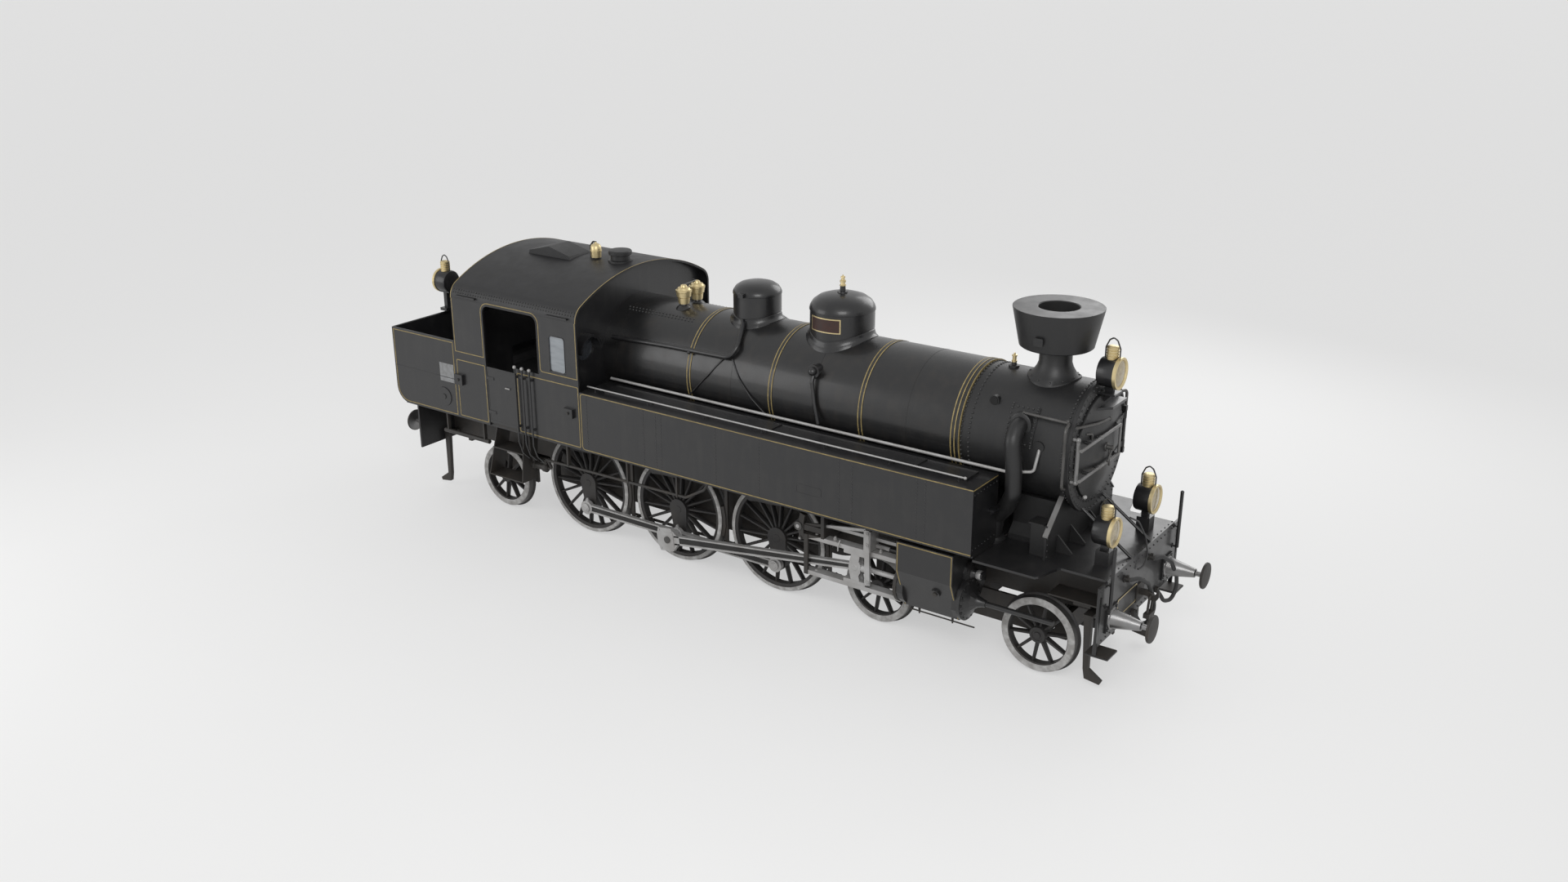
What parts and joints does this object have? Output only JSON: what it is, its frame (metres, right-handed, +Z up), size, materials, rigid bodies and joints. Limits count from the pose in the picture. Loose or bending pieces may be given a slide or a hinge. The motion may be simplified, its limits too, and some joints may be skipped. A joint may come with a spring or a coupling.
{
  "type": "steam locomotive",
  "caption": "Side-tank steam locomotive: coupled wheels with side rods, leading bogie, trailing truck, boiler, smokebox, cab with doors and coal bunker.",
  "frame": {"origin": "on the floor under the middle of the length over buffers, midway between the wheels", "axes": "+X forwards to the chimney end, +Y to the left-hand side, +Z up"},
  "size_m": [12.7, 3, 4.49],
  "materials": {
    "black_paint": "glossy black paint",
    "smokebox_black": "heat-dulled black paint",
    "bright_steel": "polished and oiled",
    "wheel": "black with pale tyre faces",
    "brass": "polished",
    "dark_iron": "oily black"
  },
  "bodies": {
    "locomotive": {"boiler": "black_paint", "brake_gear_left": "dark_iron", "brake_gear_right": "dark_iron", "buffer_front_left": "bright_steel", "buffer_front_right": "bright_steel", "buffer_rear_left": "bright_steel", "buffer_rear_right": "bright_steel", "cab_floor": "dark_iron", "cab_front": "black_paint", "cab_rear": "black_paint", "cab_roof": "black_paint", "cab_side_left": "black_paint", "cab_side_right": "black_paint", "cab_steps_left": "dark_iron", "cab_steps_right": "dark_iron", "chimney": "smokebox_black", "coal_bunker": "black_paint", "coupling_front": "dark_iron", "coupling_rear": "dark_iron", "cylinder_left": "black_paint", "cylinder_right": "black_paint", "front_beam": "black_paint", "front_deck": "black_paint", "headlamp_left": "black_paint", "headlamp_right": "black_paint", "headlamp_top": "black_paint", "main_frame": "dark_iron", "platform": "black_paint", "rear_beam": "black_paint", "safety_valves": "brass", "sand_dome": "black_paint", "slide_bars_left": "bright_steel", "slide_bars_right": "bright_steel", "smokebox": "smokebox_black", "smokebox_saddle": "smokebox_black", "steam_dome": "black_paint", "steam_pipe_left": "smokebox_black", "steam_pipe_right": "smokebox_black", "tail_lamp": "black_paint", "tank_left": "black_paint", "tank_right": "black_paint"},
    "driving_wheels": {"driving_wheelset": "wheel"},
    "front_coupled_wheels": {"front_coupled_wheelset": "wheel"},
    "rear_coupled_wheels": {"rear_coupled_wheelset": "wheel"},
    "coupling_rod_right": {"coupling_rod_right": "bright_steel"},
    "coupling_rod_left": {"coupling_rod_left": "bright_steel"},
    "bogie": {"bogie_frame": "dark_iron"},
    "leading_wheels": {"leading_wheelset": "wheel"},
    "second_wheels": {"second_wheelset": "wheel"},
    "truck": {"trailing_truck": "dark_iron"},
    "trailing_wheels": {"trailing_wheelset": "wheel"},
    "crosshead_right": {"crosshead_right": "bright_steel"},
    "crosshead_left": {"crosshead_left": "bright_steel"},
    "connecting_rod_right": {"connecting_rod_right": "bright_steel"},
    "connecting_rod_left": {"connecting_rod_left": "bright_steel"},
    "cab_door_right": {"cab_door_right": "black_paint"},
    "cab_door_left": {"cab_door_left": "black_paint"},
    "smokebox_door": {"smokebox_door": "smokebox_black"}
  },
  "joints": [
    {"name": "driving_spin", "type": "hinge", "parent": "locomotive", "child": "driving_wheels", "pos_m": [-0.838, 0, 0.817], "axis": [0, 1, 0], "continuous": true},
    {"name": "front_coupled_spin", "type": "hinge", "parent": "locomotive", "child": "front_coupled_wheels", "pos_m": [0.912, 0, 0.817], "axis": [0, 1, 0], "continuous": true},
    {"name": "rear_coupled_spin", "type": "hinge", "parent": "locomotive", "child": "rear_coupled_wheels", "pos_m": [-2.588, 0, 0.817], "axis": [0, 1, 0], "continuous": true},
    {"name": "coupling_rod_right_pin", "type": "hinge", "parent": "driving_wheels", "child": "coupling_rod_right", "pos_m": [-0.80037, -0.897, 0.45897], "axis": [0, 1, 0], "continuous": true},
    {"name": "coupling_rod_left_pin", "type": "hinge", "parent": "driving_wheels", "child": "coupling_rod_left", "pos_m": [-0.47997, 0.897, 0.85463], "axis": [0, 1, 0], "continuous": true},
    {"name": "bogie_swing", "type": "hinge", "parent": "locomotive", "child": "bogie", "pos_m": [3.71, 0, 0.53], "axis": [0, 0, 1], "range_deg": [-3, 3]},
    {"name": "leading_spin", "type": "hinge", "parent": "bogie", "child": "leading_wheels", "pos_m": [4.8685, 0, 0.53], "axis": [0, 1, 0], "continuous": true},
    {"name": "second_spin", "type": "hinge", "parent": "bogie", "child": "second_wheels", "pos_m": [2.5515, 0, 0.53], "axis": [0, 1, 0], "continuous": true},
    {"name": "truck_swing", "type": "hinge", "parent": "locomotive", "child": "truck", "pos_m": [-3.3, 0, 0.53], "axis": [0, 0, -1], "range_deg": [-3, 3]},
    {"name": "trailing_spin", "type": "hinge", "parent": "truck", "child": "trailing_wheels", "pos_m": [-4.36, 0, 0.53], "axis": [0, 1, 0], "continuous": true},
    {"name": "crosshead_right_slide", "type": "slide", "parent": "locomotive", "child": "crosshead_right", "axis": [1, 0, 0], "range_m": [-0.3679, 0.3511]},
    {"name": "connecting_rod_right_swing", "type": "hinge", "parent": "crosshead_right", "child": "connecting_rod_right", "pos_m": [2.39332, -1.09, 0.9], "axis": [0, 1, 0], "range_deg": [0, 12.8]},
    {"name": "crosshead_left_slide", "type": "slide", "parent": "locomotive", "child": "crosshead_left", "axis": [1, 0, 0], "range_m": [-0.7183, 0.0007]},
    {"name": "connecting_rod_left_swing", "type": "hinge", "parent": "crosshead_left", "child": "connecting_rod_left", "pos_m": [2.74371, 1.09, 0.9], "axis": [0, 1, 0], "range_deg": [-7.1, 5.7]},
    {"name": "cab_door_right_hinge", "type": "hinge", "parent": "locomotive", "child": "cab_door_right", "pos_m": [-3.885, -1.47, 2.15], "axis": [0, 0, 1], "range_deg": [0, 85]},
    {"name": "cab_door_left_hinge", "type": "hinge", "parent": "locomotive", "child": "cab_door_left", "pos_m": [-3.885, 1.47, 2.15], "axis": [0, 0, -1], "range_deg": [0, 85]},
    {"name": "smokebox_door_hinge", "type": "hinge", "parent": "locomotive", "child": "smokebox_door", "pos_m": [5.1513, 0.715, 2.85], "axis": [0, 0, 1], "range_deg": [0, 65]}
  ],
  "couplings": [
    {"joint": "front_coupled_spin", "follows": "driving_spin", "ratio": 1},
    {"joint": "rear_coupled_spin", "follows": "driving_spin", "ratio": 1},
    {"joint": "coupling_rod_right_pin", "follows": "driving_spin", "ratio": -1},
    {"joint": "coupling_rod_left_pin", "follows": "driving_spin", "ratio": -1}
  ]
}
